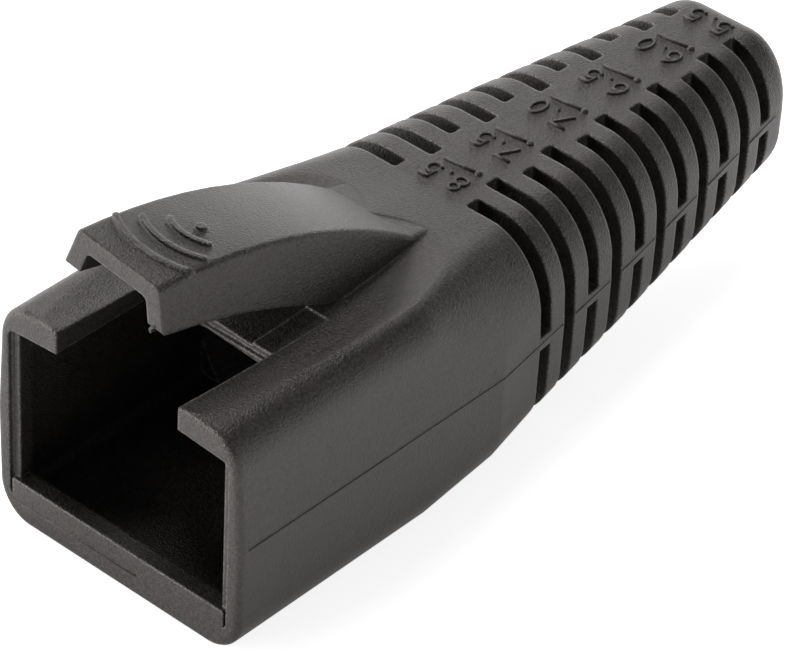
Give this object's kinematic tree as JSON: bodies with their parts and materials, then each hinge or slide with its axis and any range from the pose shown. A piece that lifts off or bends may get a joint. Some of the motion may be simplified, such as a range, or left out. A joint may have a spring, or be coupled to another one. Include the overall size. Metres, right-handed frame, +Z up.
{
  "type": "rj45 strain relief boot",
  "caption": "Moulded strain relief boot: a square plug socket with an arched lever over its latch slot, and a slotted, tapering neck that bends with the cable.",
  "frame": {"origin": "centre of the boot's outline in plan, at the level of its flat underside", "axes": "+Y from the plug socket to the cable end, +Z up through the lever, +X to the right seen from the plug end"},
  "size_m": [0.0134, 0.0378, 0.0163],
  "materials": {
    "moulding": "dark grey flexible plastic with a fine eroded grain"
  },
  "bodies": {
    "root": {"boot": "moulding"}
  },
  "joints": []
}
